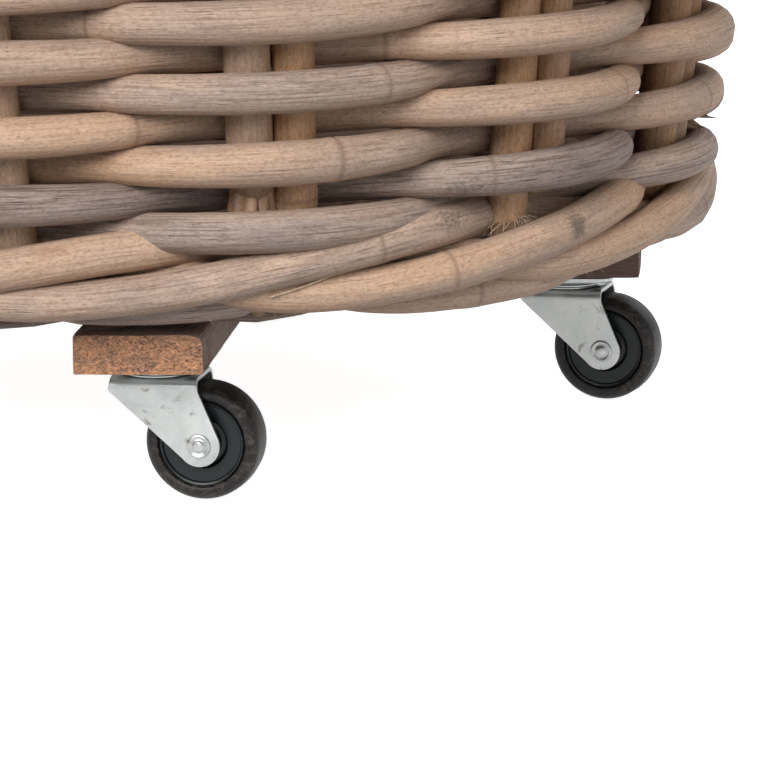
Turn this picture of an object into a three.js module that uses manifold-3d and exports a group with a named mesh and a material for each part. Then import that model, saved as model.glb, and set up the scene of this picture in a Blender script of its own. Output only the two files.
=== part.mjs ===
// Round log basket woven from whole rattan cane, standing on four swivel castors that are
// screwed under two crossed wooden battens. Millimetres, +Z up. The origin is on the floor,
// under the middle of the basket. Angles round the basket start at -Y and grow towards +X.
import * as THREE from 'three';
import { mergeVertices } from 'three/addons/utils/BufferGeometryUtils.js';
import Module from 'manifold-3d';

const wasm = await Module();
wasm.setup();

// Gap kept between pieces that touch.
const GAP = 0.3;

// Castors.
const WHEEL_R = 26.4;
const TYRE_W = 23;
const HUB_R = 19.4;
const TRAIL = 20.5;
const FORK_TOP = 57;
const FORK_LENGTH = 41;
const FORK_WIDTH = 32;
const SHEET = 2.2;
const BOSS_R = 9.5;
const AXLE_R = 4;
const PIN_R = 4;
const PLATE_TOP = 64;
const PLATE_T = 2.8;
const PLATE_SIDE = 46;
const RACE_R = 17;

// Battens. They cross at right angles, and the cross sits off the middle of the basket and
// is turned a little. The castors are placed along the battens, from where they cross.
const BATTEN_W = 58;
const BATTEN_T = 18;
const BATTEN_START = -271.5;
const BATTEN_RIGHT_END = 212.5;
const BATTEN_BACK_END = 243;
const CROSS = new THREE.Vector2(38.9, 13.7);
const CROSS_TURN = -7;
const CASTORS = [
  { name: 'front', x: 2.7, y: -226.1, trail: -5 },
  { name: 'right', x: 175.9, y: -4.3, trail: -11 },
  { name: 'back', x: -2, y: 197.6, trail: 80 },
  { name: 'left', x: -234.9, y: 3, trail: -28 },
];

// Basket.
const STAKES = 13;
const FIRST_STAKE = -41;
const LEAN_PER_MM = 0.00017;
const LEAN_HEIGHT = 177;
const STAKE_T = 14;
const STAKE_PAIR_W = 37;
const STAKE_R_BOTTOM = 262;
const FLARE = 31;
const FLARE_START = 92;
const FLARE_END = 432;
const FLOOR_BOTTOM = PLATE_TOP + GAP + BATTEN_T + GAP;
const FLOOR_T = 14;
const WALL_BOTTOM = 84;
const HOOPS = 3;
const CANE_T = 13.5;
const ROW = 15.2;
const TURNS = 20;
const WEAVE_START = 127.5;
const WEAVER_LENGTHS = 10;
const PRESS = 2.1;
const FLAT = THREE.MathUtils.degToRad(4.9);
const RIM_H = 25;
const RIM_OUT = 318;
const RIM_IN = 272;
const HANDLE_D = 21;
const HANDLE_SPAN = 150;
const HANDLE_RISE = 54;
const HANDLE_FOOT = 8;

const WEAVE_TOP = WEAVE_START + ROW * TURNS;
const RIM_BOTTOM = WEAVE_TOP + ROW / 2 + GAP;
const STAKE_TOP = RIM_BOTTOM - 1.4;

const material = (color, roughness, metalness = 0) =>
  new THREE.MeshStandardMaterial({ color, roughness, metalness });
const zinc = material(0x9a9b98, 0.38, 0.9);
const blackPlastic = material(0x17171a, 0.45);
const tyreRubber = material(0x231b18, 0.75);
const reddishWood = material(0x7a4b36, 0.8);
const darkWood = material(0x5a4440, 0.8);
const caneColours = [0xa8907a, 0x8f7a68, 0xb39a80, 0x9a8272, 0x7d6c62, 0xa38a70];
const cane = (index) => material(caneColours[index % caneColours.length], 0.7);

const object = new THREE.Group();

function piece(name, geometry, finish, parent = object) {
  const mesh = new THREE.Mesh(geometry, finish);
  mesh.name = name;
  parent.add(mesh);
  return mesh;
}

// Boolean joins.

function toSolid(geometry) {
  const bare = geometry.clone();
  bare.deleteAttribute('normal');
  bare.deleteAttribute('uv');
  const merged = mergeVertices(bare);
  const vertProperties = new Float32Array(merged.attributes.position.array);
  const triVerts = new Uint32Array(merged.index.array);
  return new wasm.Manifold(new wasm.Mesh({ numProp: 3, vertProperties, triVerts }));
}

function toGeometry(solid) {
  const mesh = solid.getMesh();
  const geometry = new THREE.BufferGeometry();
  geometry.setAttribute('position', new THREE.BufferAttribute(mesh.vertProperties, 3));
  geometry.setIndex(new THREE.BufferAttribute(mesh.triVerts, 1));
  geometry.computeVertexNormals();
  return geometry;
}

// Turned shapes. The profile is (radius, height) pairs and the axis is Y.

function turned(profile, segments) {
  return new THREE.LatheGeometry(profile.map(([r, y]) => new THREE.Vector2(r, y)), segments);
}

function turnedUpright(profile, segments) {
  return turned(profile, segments).rotateX(Math.PI / 2);
}

// Castors.

function wheelTyre() {
  const w = TYRE_W / 2;
  const inner = HUB_R + GAP;
  const profile = [
    [inner, -w + 1.5], [WHEEL_R - 2, -w], [WHEEL_R, -w + 3],
    [WHEEL_R, w - 3], [WHEEL_R - 2, w], [inner, w - 1.5],
  ];
  return turned([...profile, profile[0]], 24);
}

function wheelHub() {
  const w = TYRE_W / 2 - 1;
  const bore = AXLE_R + GAP;
  const profile = [
    [bore, -w], [bore + 4, -w], [bore + 5, -w + 2], [HUB_R, -w + 2],
    [HUB_R, w - 2], [bore + 5, w - 2], [bore + 4, w], [bore, w],
  ];
  return turned([...profile, profile[0]], 20);
}

function axleRivet() {
  const shoulder = FORK_WIDTH / 2 + GAP;
  const end = shoulder + 1.6;
  return turned([
    [0, -end], [AXLE_R + 1.5, -end + 0.6], [AXLE_R + 1.5, -shoulder], [AXLE_R, -shoulder],
    [AXLE_R, shoulder], [AXLE_R + 1.5, shoulder], [AXLE_R + 1.5, end - 0.6], [0, end],
  ], 12);
}

// One side of the fork: wide under the crown, narrowing to a round boss at the axle.
function forkLeg() {
  const half = FORK_LENGTH / 2;
  const outline = new THREE.Shape();
  outline.moveTo(-half, FORK_TOP);
  outline.lineTo(-half, FORK_TOP - 5);
  outline.absarc(TRAIL, WHEEL_R, BOSS_R, -Math.PI * 0.78, Math.PI * 0.11, false);
  outline.lineTo(half, FORK_TOP);
  const axleHole = new THREE.Path();
  axleHole.absarc(TRAIL, WHEEL_R, AXLE_R + GAP, 0, Math.PI * 2, false);
  outline.holes.push(axleHole);
  const options = { depth: SHEET, bevelEnabled: false, curveSegments: 7 };
  return new THREE.ExtrudeGeometry(outline, options).rotateX(Math.PI / 2);
}

function forkCrown() {
  const half = FORK_LENGTH / 2;
  const side = FORK_WIDTH / 2;
  const outline = new THREE.Shape();
  outline.moveTo(-half, -side);
  outline.lineTo(half, -side);
  outline.lineTo(half, side);
  outline.lineTo(-half, side);
  const pinHole = new THREE.Path();
  pinHole.absarc(0, 0, PIN_R + GAP, 0, Math.PI * 2, false);
  outline.holes.push(pinHole);
  const options = { depth: SHEET, bevelEnabled: false, curveSegments: 6 };
  return new THREE.ExtrudeGeometry(outline, options).translate(0, 0, FORK_TOP - SHEET);
}

function fork() {
  const near = toSolid(forkLeg().translate(0, -FORK_WIDTH / 2 + SHEET, 0));
  const far = toSolid(forkLeg().translate(0, FORK_WIDTH / 2, 0));
  return toGeometry(toSolid(forkCrown()).add(near).add(far));
}

// The rivet that the fork turns on: its head is under the crown.
function kingpin() {
  const crownBottom = FORK_TOP - SHEET;
  const top = PLATE_TOP - PLATE_T - GAP;
  return turnedUpright([
    [0, crownBottom - 3], [PIN_R + 2.5, crownBottom - 2.4], [PIN_R + 2.5, crownBottom - GAP],
    [PIN_R, crownBottom - GAP], [PIN_R, top], [0, top],
  ], 12);
}

function ballRace() {
  const bottom = FORK_TOP + GAP;
  const top = PLATE_TOP - PLATE_T - GAP;
  const profile = [
    [PIN_R + 3, bottom], [RACE_R - 2, bottom], [RACE_R, bottom + 1.5], [RACE_R, top], [PIN_R + 3, top],
  ];
  return turnedUpright([...profile, profile[0]], 20);
}

function topPlate() {
  const half = PLATE_SIDE / 2;
  const corner = 6;
  const outline = new THREE.Shape();
  [[1, 1], [-1, 1], [-1, -1], [1, -1]].forEach(([sx, sy], index) => {
    const start = index * Math.PI / 2;
    outline.absarc(sx * (half - corner), sy * (half - corner), corner, start, start + Math.PI / 2, false);
  });
  const options = { depth: PLATE_T, bevelEnabled: false, curveSegments: 3 };
  return new THREE.ExtrudeGeometry(outline, options).translate(0, 0, PLATE_TOP - PLATE_T);
}

const cross = new THREE.Group();
cross.position.set(CROSS.x, CROSS.y, 0);
cross.rotation.z = THREE.MathUtils.degToRad(CROSS_TURN);
object.add(cross);

for (const { name, x, y, trail } of CASTORS) {
  const mount = new THREE.Group();
  mount.position.set(x, y, 0);
  cross.add(mount);
  piece(`castor_${name}_plate`, topPlate(), zinc, mount);
  piece(`castor_${name}_ball_race`, ballRace(), zinc, mount);
  piece(`castor_${name}_kingpin`, kingpin(), zinc, mount);

  const swivel = new THREE.Group();
  swivel.rotation.z = THREE.MathUtils.degToRad(trail);
  mount.add(swivel);
  piece(`castor_${name}_fork`, fork(), zinc, swivel);

  const wheel = new THREE.Group();
  wheel.position.set(TRAIL, 0, WHEEL_R);
  swivel.add(wheel);
  piece(`castor_${name}_axle`, axleRivet(), zinc, wheel);
  piece(`castor_${name}_hub`, wheelHub(), blackPlastic, wheel);
  piece(`castor_${name}_tyre`, wheelTyre(), tyreRubber, wheel);
}

// Battens, half-lapped where they cross. The notch is in the top of one and under the other.

function batten(notchInTop, end) {
  const start = BATTEN_START;
  const notch = BATTEN_W / 2 + GAP;
  const middle = BATTEN_T / 2 + (notchInTop ? -GAP / 2 : GAP / 2);
  const corners = notchInTop
    ? [[start, 0], [end, 0], [end, BATTEN_T], [notch, BATTEN_T],
      [notch, middle], [-notch, middle], [-notch, BATTEN_T], [start, BATTEN_T]]
    : [[start, 0], [-notch, 0], [-notch, middle], [notch, middle],
      [notch, 0], [end, 0], [end, BATTEN_T], [start, BATTEN_T]];
  const outline = new THREE.Shape(corners.map(([s, z]) => new THREE.Vector2(s, z)));
  return new THREE.ExtrudeGeometry(outline, { depth: BATTEN_W, bevelEnabled: false })
    .translate(0, 0, -BATTEN_W / 2)
    .rotateX(Math.PI / 2)
    .translate(0, 0, PLATE_TOP + GAP);
}

piece('batten_front_to_back', batten(true, BATTEN_BACK_END).rotateZ(Math.PI / 2), reddishWood, cross);
piece('batten_side_to_side', batten(false, BATTEN_RIGHT_END), darkWood, cross);

// Canes. A cane is a section carried along corners that are worked out one by one, with the
// section's second side always facing the same way.

class CanePath extends THREE.Curve {
  constructor(points, across) {
    super();
    this.points = points;
    this.across = across;
  }

  getPoint(t, target = new THREE.Vector3()) {
    const last = this.points.length - 1;
    const index = Math.min(Math.floor(t * last + 1e-9), last - 1);
    return target.lerpVectors(this.points[index], this.points[index + 1], t * last - index);
  }

  getUtoTmapping(u) {
    return u;
  }

  computeFrenetFrames(segments) {
    const frames = { tangents: [], normals: [], binormals: [] };
    for (let index = 0; index <= segments; index += 1) {
      const ahead = this.points[Math.min(index + 1, segments)];
      const behind = this.points[Math.max(index - 1, 0)];
      const tangent = ahead.clone().sub(behind).normalize();
      const normal = this.across.clone().cross(tangent).normalize();
      frames.tangents.push(tangent);
      frames.normals.push(normal);
      frames.binormals.push(tangent.clone().cross(normal).normalize());
    }
    return frames;
  }
}

function caneAlong(points, across, section) {
  const path = new CanePath(points, across);
  return new THREE.ExtrudeGeometry(section, { steps: points.length - 1, extrudePath: path });
}

// A section with cut corners: depth is across the wall and width is along the steady side.
function caneSection(depth, width, cut) {
  const x = depth / 2;
  const y = width / 2;
  const corners = cut > 0
    ? [[x - cut, -y], [x, -y + cut], [x, y - cut], [x - cut, y],
      [-x + cut, y], [-x, y - cut], [-x, -y + cut], [-x + cut, -y]]
    : [[x, -y], [x, y], [-x, y], [-x, -y]];
  return new THREE.Shape(corners.map(([a, b]) => new THREE.Vector2(a, b)));
}

function around(angle, radius, z) {
  return new THREE.Vector3(radius * Math.sin(angle), -radius * Math.cos(angle), z);
}

function stakeRadius(z) {
  const rise = THREE.MathUtils.clamp((z - FLARE_START) / (FLARE_END - FLARE_START), 0, 1);
  return STAKE_R_BOTTOM + FLARE * Math.sin(rise * Math.PI / 2);
}

function stakeAngle(index, z) {
  const first = THREE.MathUtils.degToRad(FIRST_STAKE);
  return first + index * 2 * Math.PI / STAKES - LEAN_PER_MM * (z - LEAN_HEIGHT);
}

// Where a cane that passes outside (1) or inside (-1) of a stake has its middle line.
function passRadius(side, z) {
  const offset = STAKE_T / 2 + CANE_T / 2 + PRESS;
  return (stakeRadius(z) + side * offset) / Math.cos(FLAT);
}

// Basket floor.
const floorR = STAKE_R_BOTTOM - STAKE_T / 2 - 1;
const floorTop = FLOOR_BOTTOM + FLOOR_T;
piece('basket_floor', turnedUpright([
  [0, FLOOR_BOTTOM], [floorR, FLOOR_BOTTOM], [floorR, floorTop], [0, floorTop],
], 40), cane(1));

// Upright stakes, two canes side by side at each place.
const UP = new THREE.Vector3(0, 0, 1);
const STAKE_STEPS = 8;
for (let index = 0; index < STAKES; index += 1) {
  const points = [];
  for (let step = 0; step <= STAKE_STEPS; step += 1) {
    const z = WALL_BOTTOM + (STAKE_TOP - WALL_BOTTOM) * step / STAKE_STEPS;
    points.push(around(stakeAngle(index, z), stakeRadius(z), z));
  }
  const middle = stakeAngle(index, (WALL_BOTTOM + STAKE_TOP) / 2);
  const sideways = new THREE.Vector3(Math.cos(middle), Math.sin(middle), 0);
  const name = `stake_pair_${String(index + 1).padStart(2, '0')}`;
  piece(name, caneAlong(points, sideways, caneSection(STAKE_T, STAKE_PAIR_W, 3)), cane(index));
}

// Border hoops round the foot of the wall, each one cane whose ends butt together.
const HOOP_H = (WEAVE_START - ROW / 2 - WALL_BOTTOM) / HOOPS;
for (let hoop = 0; hoop < HOOPS; hoop += 1) {
  const z = WALL_BOTTOM + HOOP_H * (hoop + 0.5);
  const points = [];
  for (let index = 0; index <= STAKES; index += 1) {
    const middle = stakeAngle(index, z);
    const before = index === 0 ? GAP / stakeRadius(z) : -FLAT;
    const after = index === STAKES ? -GAP / stakeRadius(z) : FLAT;
    points.push(around(middle + before, passRadius(1, z), z));
    points.push(around(middle + after, passRadius(1, z), z));
  }
  const section = caneSection(CANE_T, HOOP_H - GAP, 3);
  piece(`border_cane_${hoop + 1}`, caneAlong(points, UP, section), cane(hoop + 2));
}

// The wall: one line of cane spirals up, outside one stake pair and inside the next. Each
// length of it starts and ends inside a stake pair, where it butts against the next. The
// butts are spread over different pairs.
const weaveZ = (index) => WEAVE_START + ROW * index / STAKES;
const breakAt = (length) => {
  const spread = length % WEAVER_LENGTHS === 0 ? 0 : 4 * (length % 3 - 1);
  return length * TURNS * STAKES / WEAVER_LENGTHS + spread - 1;
};
for (let length = 0; length < WEAVER_LENGTHS; length += 1) {
  const first = breakAt(length);
  const last = breakAt(length + 1);
  const points = [];
  for (let index = first; index <= last; index += 1) {
    const z = weaveZ(index);
    const side = index % 2 === 0 ? 1 : -1;
    const middle = stakeAngle(index, z);
    const butt = 1 / stakeRadius(z);
    const before = index === first ? butt : -FLAT;
    const after = index === last ? -butt : FLAT;
    points.push(around(middle + before, passRadius(side, z), z));
    points.push(around(middle + after, passRadius(side, z), z));
  }
  const section = caneSection(CANE_T, ROW - 2 * GAP, 0);
  piece(`weaver_length_${length + 1}`, caneAlong(points, UP, section), cane(length));
}

// Rim border and the two handles that stand on it.
const rimTop = RIM_BOTTOM + RIM_H;
const rimCut = 7;
const rimProfile = [
  [RIM_IN + rimCut, RIM_BOTTOM], [RIM_OUT - rimCut, RIM_BOTTOM],
  [RIM_OUT, RIM_BOTTOM + rimCut], [RIM_OUT, rimTop - rimCut],
  [RIM_OUT - rimCut, rimTop], [RIM_IN + rimCut, rimTop],
  [RIM_IN, rimTop - rimCut], [RIM_IN, RIM_BOTTOM + rimCut],
];
piece('rim_border', turnedUpright([...rimProfile, rimProfile[0]], 36), cane(0));

const HANDLE_STEPS = 10;
for (const [name, side] of [['right', 1], ['left', -1]]) {
  const x = side * (RIM_OUT + RIM_IN) / 2;
  const half = HANDLE_SPAN / 2;
  const points = [new THREE.Vector3(x, -half, rimTop + GAP)];
  for (let step = 0; step <= HANDLE_STEPS; step += 1) {
    const turn = Math.PI * step / HANDLE_STEPS;
    const z = rimTop + HANDLE_FOOT + HANDLE_RISE * Math.sin(turn);
    points.push(new THREE.Vector3(x, -half * Math.cos(turn), z));
  }
  points.push(new THREE.Vector3(x, half, rimTop + GAP));
  const outward = new THREE.Vector3(1, 0, 0);
  const section = caneSection(HANDLE_D, HANDLE_D, HANDLE_D * 0.29);
  piece(`handle_${name}`, caneAlong(points, outward, section), cane(3));
}

export default object;
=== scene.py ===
"""Log basket of whole rattan cane on four castors. Metres, +Z up, in the frame of the CAD."""
from math import copysign, cos, hypot, pi, radians, sin, sqrt

import bmesh
import bpy
import numpy as np
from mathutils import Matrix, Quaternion, Vector


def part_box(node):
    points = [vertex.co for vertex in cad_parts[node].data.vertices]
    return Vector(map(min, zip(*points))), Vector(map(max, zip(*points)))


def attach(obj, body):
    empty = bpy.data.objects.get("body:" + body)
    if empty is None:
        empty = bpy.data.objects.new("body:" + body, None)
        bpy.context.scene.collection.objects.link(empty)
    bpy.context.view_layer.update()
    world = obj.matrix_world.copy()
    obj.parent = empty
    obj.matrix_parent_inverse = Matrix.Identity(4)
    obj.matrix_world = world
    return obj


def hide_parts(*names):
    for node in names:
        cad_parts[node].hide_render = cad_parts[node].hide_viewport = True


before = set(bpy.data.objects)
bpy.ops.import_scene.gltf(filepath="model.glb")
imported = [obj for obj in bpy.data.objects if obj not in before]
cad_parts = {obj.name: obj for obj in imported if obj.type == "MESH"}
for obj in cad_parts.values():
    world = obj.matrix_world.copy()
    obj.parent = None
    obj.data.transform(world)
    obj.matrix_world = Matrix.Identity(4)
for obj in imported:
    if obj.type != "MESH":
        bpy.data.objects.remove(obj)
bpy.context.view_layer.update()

# -------- the design's own sizes

STAKES = 13
FIRST_STAKE = radians(-41)
LEAN_PER_M = 0.17
LEAN_HEIGHT = 0.177
STAKE_R_BOTTOM = 0.262
FLARE = 0.031
FLARE_START = 0.092
FLARE_END = 0.432
ROW = 0.0152
TURNS = 20
WEAVE_START = 0.1275
WEAVER_LENGTHS = 10

STAKE_R = 0.0100
STAKE_INSET = 0.0020
WEAVER_R = 0.0095
WALE_R = 0.0090
PASS = 0.0182
FOOT_R = 0.0076
RIM_ROD_R = 0.0076
HANDLE_ROD_R = 0.0056
SIDES = 16
RING_STEP = 0.006
# Strength of the painted shade on the side of each cane that faces the inside of the basket.
INNER_SHADE = 0.85

# Hand-made unevenness, one value for each stake pair: degrees round the wall, and millimetres
# that the cane stands further out there.
PAIR_TURN = (0.0, 0.65, -0.1, 0.0, 0.3, -0.5, 0.4, 0.8, -0.6, 0.3, -0.4, 0.6, -0.3)
PAIR_BULGE = (0.5, 0.0, 0.6, 0.0, -2.6, 3.2, -1.0, 1.2, -1.5, 0.8, 1.4, -0.8, -0.4)

CASTORS = ("front", "right", "back", "left")


def middle(node):
    low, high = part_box(node)
    return (Vector(low) + Vector(high)) / 2


def around(angle, radius, z):
    return np.array([radius * sin(angle), -radius * cos(angle), z])


def stake_radius(z):
    rise = min(max((z - FLARE_START) / (FLARE_END - FLARE_START), 0.0), 1.0)
    return STAKE_R_BOTTOM + FLARE * sin(rise * pi / 2)


def stake_angle(index, z):
    """Angle round the wall, for whole and part counts of stake pairs."""
    turn = np.interp(index % STAKES, range(STAKES + 1), PAIR_TURN + PAIR_TURN[:1])
    return FIRST_STAKE + index * 2 * pi / STAKES + radians(turn) - LEAN_PER_M * (z - LEAN_HEIGHT)


def on_wall(index, offset, z):
    return around(stake_angle(index, z), stake_radius(z) + offset, z)


def bulge(index):
    return 0.001 * np.interp(index % STAKES, range(STAKES + 1), PAIR_BULGE + PAIR_BULGE[:1])


def wander(seed, position, scale=1.0):
    """Smooth noise along a line, about -1 to 1, the same on every run."""
    position = np.asarray(position, float)
    total = 0.0
    for octave in range(2):
        shifted = position / scale * (1.9 ** octave) + seed * 7.31 + octave * 3.7
        cell = np.floor(shifted)
        part = shifted - cell
        ease = part * part * (3 - 2 * part)
        first, second = (np.sin((cell + k) * 127.1 + seed * 311.7) * 43758.5453 for k in (0, 1))
        first, second = first - np.floor(first), second - np.floor(second)
        total = total + (first + (second - first) * ease - 0.5) * 2 / (1.7 ** octave)
    return total / 1.5


# -------- shader help

class Shader:
    """A material built node by node. Each method adds one node and gives back its output."""

    def __init__(self, name, roughness=0.6, metallic=0.0, specular=0.5):
        self.material = bpy.data.materials.new(name)
        self.material.use_nodes = True
        self.tree = self.material.node_tree
        self.bsdf = self.tree.nodes["Principled BSDF"]
        self.bsdf.inputs["Roughness"].default_value = roughness
        self.bsdf.inputs["Metallic"].default_value = metallic
        self.bsdf.inputs["Specular IOR Level"].default_value = specular

    def put(self, socket, value):
        if isinstance(value, bpy.types.NodeSocket):
            self.tree.links.new(value, socket)
        elif value is not None:
            socket.default_value = value

    def node(self, kind, output, inputs=(), **values):
        node = self.tree.nodes.new("ShaderNode" + kind)
        for name, value in values.items():
            setattr(node, name, value)
        for socket, value in dict(inputs).items():
            self.put(node.inputs[socket], value)
        return node.outputs[output]

    def attribute(self, name, output="Fac"):
        return self.node("Attribute", output, attribute_name=name)

    def place(self):
        return self.node("TexCoord", "Object")

    def stretched(self, vector, scale, offset=(0, 0, 0), tilt=0.0):
        return self.node("Mapping", "Vector", {
            "Vector": vector, "Scale": scale, "Location": offset, "Rotation": (0, tilt, 0)})

    def noise(self, vector, scale=1.0, detail=4.0, roughness=0.55, distortion=0.0):
        return self.node("TexNoise", "Fac", {
            "Vector": vector, "Scale": scale, "Detail": detail, "Roughness": roughness,
            "Distortion": distortion})

    def fleck(self, vector, stretch, detail, roughness, offset=(0, 0, 0), tilt=0.0, scale=1.0,
              distortion=0.0):
        """Noise on a stretched, shifted and tilted copy of the space."""
        space = self.stretched(vector, stretch, offset, tilt)
        return self.noise(space, scale, detail, roughness, distortion)

    def cells(self, vector, scale=1.0):
        return self.node("TexVoronoi", "Distance", {"Vector": vector, "Scale": scale})

    def ramp(self, value, *stops):
        node = self.tree.nodes.new("ShaderNodeValToRGB")
        self.put(node.inputs["Fac"], value)
        band = node.color_ramp.elements
        while len(band) < len(stops):
            band.new(0.5)
        for element, (place, colour) in zip(band, stops):
            element.position = place
            grey = isinstance(colour, (int, float))
            element.color = (colour, colour, colour, 1) if grey else (*colour, 1)
        return node.outputs["Color"]

    def mix(self, factor, first, second, blend="MIX"):
        first, second = ((*c, 1) if isinstance(c, tuple) else c for c in (first, second))
        return self.node("Mix", 2, {0: factor, 6: first, 7: second}, data_type="RGBA",
                         blend_type=blend)

    def over(self, colour, paint, value, *stops):
        """Lays paint over a colour as far as the ramp of a value says."""
        return self.mix(self.ramp(value, *stops), colour, paint)

    def math(self, operation, first, second=None, third=None):
        return self.node("Math", "Value", {0: first, 1: second, 2: third}, operation=operation)

    def times(self, first, second):
        return self.math("MULTIPLY", first, second)

    def tinted(self, colour, tint):
        return self.mix(1.0, colour, tint, "MULTIPLY")

    def axis(self, vector, which):
        return self.node("SeparateXYZ", which, {0: vector})

    def bump(self, height, strength, distance):
        return self.node("Bump", "Normal", {
            "Strength": strength, "Distance": distance, "Height": height})

    def finish(self, colour, roughness=None, normal=None):
        self.put(self.bsdf.inputs["Base Color"], colour)
        self.put(self.bsdf.inputs["Roughness"], roughness)
        self.put(self.bsdf.inputs["Normal"], normal)
        return self.material


# -------- materials

# Marks on the skin: place, reach in metres, and how dark.
SKIN_STAINS = (
    ((0.203, -0.204, 0.118), 0.0065, 0.75),
    ((0.150, -0.243, 0.133), 0.0110, 0.80),
    ((0.249, -0.165, 0.170), 0.0085, 0.60),
)


def rattan_material():
    """Weathered rattan skin. The grain runs along each cane by its "fibre" attribute. Pale honey
    canes are finely mottled; grey ones, with a low "tone", are streaked and cracked."""
    s = Shader("rattan", specular=0.35)
    fibre = s.attribute("fibre", "Vector")
    ring = s.attribute("ring")
    depth = s.attribute("depth")
    streaks = s.fleck(fibre, (28, 900, 900), 4, 0.6)
    hairs = s.fleck(fibre, (75, 2600, 2600), 3, 0.6, (3, 1, 2))
    patches = s.fleck(fibre, (7, 30, 30), 3, 0.55, (5, 2, 8), distortion=0.6)
    tone = s.math("MULTIPLY_ADD", s.math("SUBTRACT", 0.5, patches), 0.9, s.attribute("tone"))
    worn = s.ramp(tone, (0.15, 1), (0.75, 0.35))
    blotches = s.fleck(fibre, (26, 80, 80), 5, 0.7, (1, 6, 3))
    mottle = s.fleck(fibre, (480, 800, 800), 4, 0.75, (7, 3, 4))
    base = s.ramp(tone, (0, (0.26, 0.2, 0.17)), (0.3, (0.42, 0.32, 0.265)), (0.62, (0.53, 0.37, 0.272)),
                  (0.85, (0.57, 0.375, 0.25)), (1, (0.5, 0.285, 0.15)))
    grey = s.tinted(base, (0.68, 0.72, 0.78))
    pale = s.tinted(base, (1.28, 1.3, 1.33))
    brown = s.tinted(base, (0.6, 0.48, 0.38))
    dark = s.tinted(base, (0.42, 0.36, 0.33))
    colour = s.mix(s.ramp(patches, (0.44, 0), (0.66, 0.6)), base, grey)
    colour = s.over(colour, pale, blotches, (0.5, 0), (0.72, 0.65))
    colour = s.over(colour, brown, blotches, (0.26, 0.55), (0.42, 0))
    streaked = s.times(s.ramp(streaks, (0.36, 0.9), (0.52, 0)), worn)
    colour = s.mix(streaked, colour, dark)
    colour = s.over(colour, dark, mottle, (0.36, 0.5), (0.5, 0))
    colour = s.over(colour, pale, mottle, (0.55, 0), (0.72, 0.55))
    colour = s.over(colour, pale, hairs, (0.62, 0), (0.76, 0.3))
    cracked = s.ramp(blotches, (0.42, 0.2), (0.6, 0.9))
    cracks = s.times(s.times(s.ramp(hairs, (0.3, 1), (0.4, 0)), cracked), worn)
    colour = s.mix(cracks, colour, (0.085, 0.055, 0.042))
    specks = s.cells(s.stretched(fibre, (210, 560, 560)))
    swarms = s.fleck(fibre, (34, 60, 60), 2, 0.55, (2, 8, 5))
    specks = s.times(s.ramp(specks, (0.07, 0.7), (0.18, 0)), s.ramp(swarms, (0.5, 0.1), (0.66, 1)))
    colour = s.mix(specks, colour, (0.055, 0.038, 0.03))
    stain = s.fleck(fibre, (26, 90, 90), 5, 0.75, (9, 9, 1))
    colour = s.over(colour, (0.13, 0.1, 0.085), stain, (0.64, 0), (0.76, 0.5))
    place = s.place()
    for spot, reach, strength in SKIN_STAINS:
        gap = s.node("VectorMath", "Value", {0: place, 1: spot}, operation="DISTANCE")
        ragged = s.math("MULTIPLY_ADD", s.math("SUBTRACT", mottle, 0.5), 2.2 * reach, gap)
        mask = s.ramp(s.math("DIVIDE", ragged, 2 * reach), (0.25, strength), (0.62, 0))
        colour = s.mix(mask, colour, (0.1, 0.075, 0.06))
    colour = s.mix(s.times(ring, 0.6), colour, (0.2, 0.12, 0.08))
    # Painted shade: faces that point downwards are mixed towards the brown copy of the cane colour.
    facing = s.axis(s.node("NewGeometry", "Normal"), "Z")
    under = s.ramp(s.math("MULTIPLY_ADD", facing, 0.5, 0.5), (0.05, 0.45), (0.35, 0))
    colour = s.mix(under, colour, brown)
    # Painted shade: this attribute darkens the canes towards a near-black brown, on their inner sides, on
    # the base and on the bark shards.
    colour = s.mix(depth, colour, (0.08, 0.04, 0.02))
    roughness = s.ramp(streaks, (0.3, 0.74), (0.7, 0.54))
    relief = s.math("MULTIPLY_ADD", cracks, -0.9, s.math("MULTIPLY_ADD", mottle, 0.5, streaks))
    return s.finish(colour, roughness, s.bump(relief, 0.9, 0.0006))


def cut_material():
    """Sawn or snapped cane end: pale pith with open pores."""
    s = Shader("cane_cut", roughness=0.85, specular=0.2)
    place = s.place()
    pores = s.cells(place, 900)
    soft = s.noise(place, 300, 4)
    pith = s.ramp(soft, (0.3, (0.36, 0.22, 0.12)), (0.7, (0.58, 0.42, 0.27)))
    colour = s.over(pith, (0.1, 0.06, 0.035), pores, (0.12, 0.8), (0.35, 0))
    return s.finish(colour, None, s.bump(pores, 0.6, 0.0006))


def fibre_material():
    s = Shader("loose_fibre", roughness=0.7, specular=0.3)
    mottle = s.noise(s.place(), 700, 3)
    return s.finish(s.ramp(mottle, (0.3, (0.4, 0.26, 0.15)), (0.7, (0.72, 0.58, 0.42))))


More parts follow.
